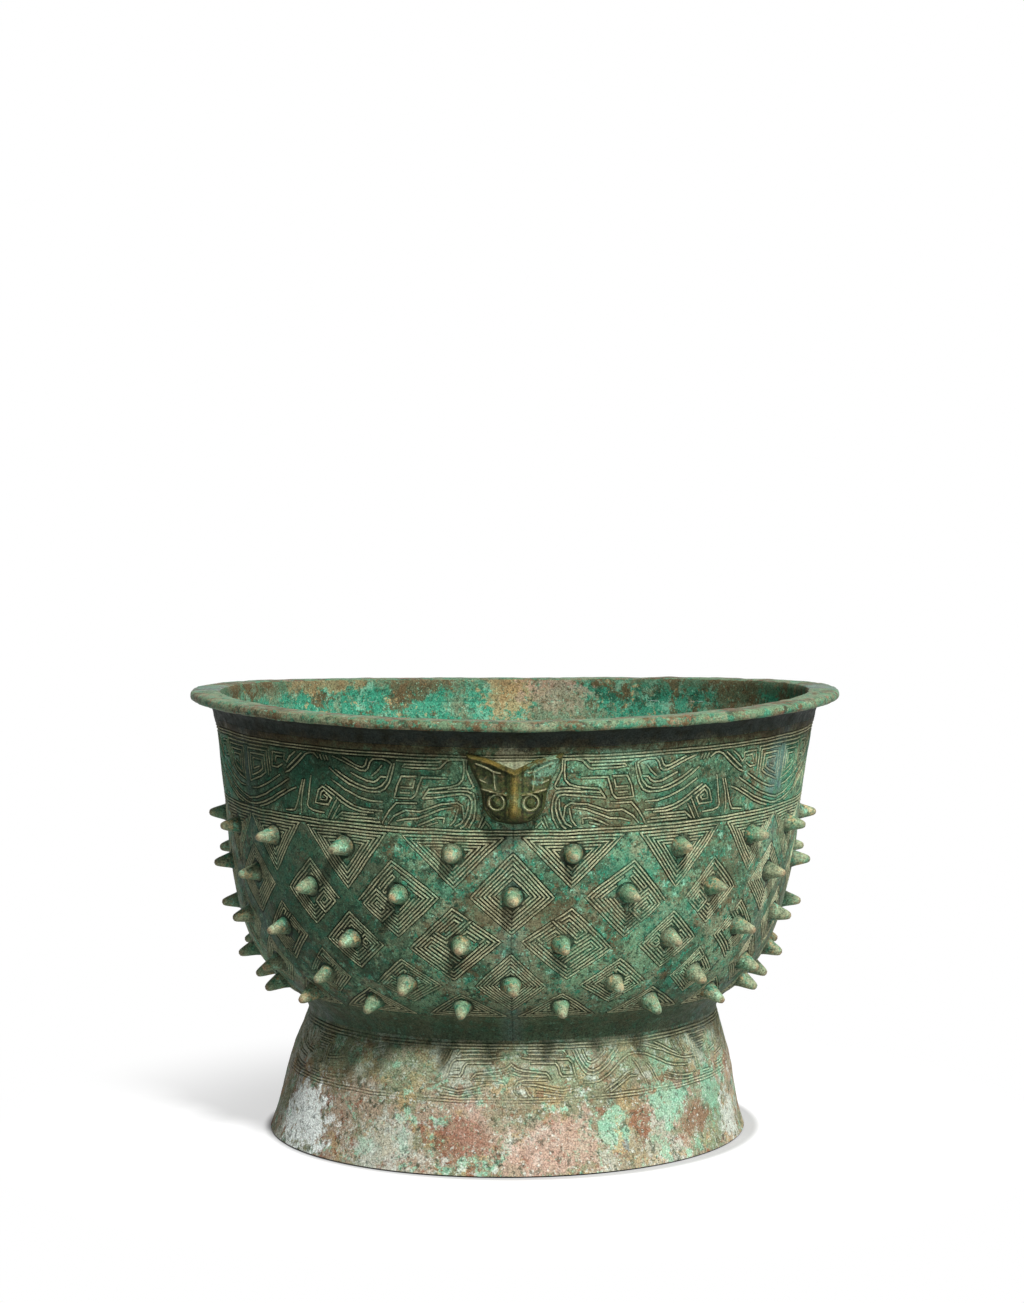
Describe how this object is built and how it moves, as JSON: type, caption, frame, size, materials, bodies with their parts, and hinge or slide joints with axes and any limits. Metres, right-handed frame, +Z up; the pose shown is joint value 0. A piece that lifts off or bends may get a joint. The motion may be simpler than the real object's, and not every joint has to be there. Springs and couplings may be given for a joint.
{
  "type": "gui vessel",
  "caption": "Round bronze gui food vessel: deep belly with rows of pointed bosses over a lozenge pattern, flat out-turned lip, small animal masks on the neck and a spreading foot ring.",
  "frame": {"origin": "centre of the foot ring's flat lower edge, on the vessel's axis", "axes": "+Z up through the mouth; -Y towards the front mask; +X to the right when the front mask is faced"},
  "size_m": [0.26, 0.2596, 0.177],
  "materials": {
    "bowl_patina": "cast bronze under green patina",
    "lip_patina": "cast bronze under pale mottled patina",
    "foot_patina": "cast bronze with white and green crust",
    "mask_bronze": "cast bronze worn to an olive sheen",
    "chaplet_bronze": "sheet bronze under brown patina"
  },
  "bodies": {
    "root": {"bowl": "bowl_patina", "rim": "lip_patina", "foot_ring": "foot_patina", "mask_front": "mask_bronze", "mask_rear_right": "mask_bronze", "mask_rear_left": "mask_bronze", "chaplet_1": "chaplet_bronze", "chaplet_2": "chaplet_bronze", "chaplet_3": "chaplet_bronze", "chaplet_4": "chaplet_bronze", "chaplet_5": "chaplet_bronze", "chaplet_6": "chaplet_bronze"}
  },
  "joints": []
}
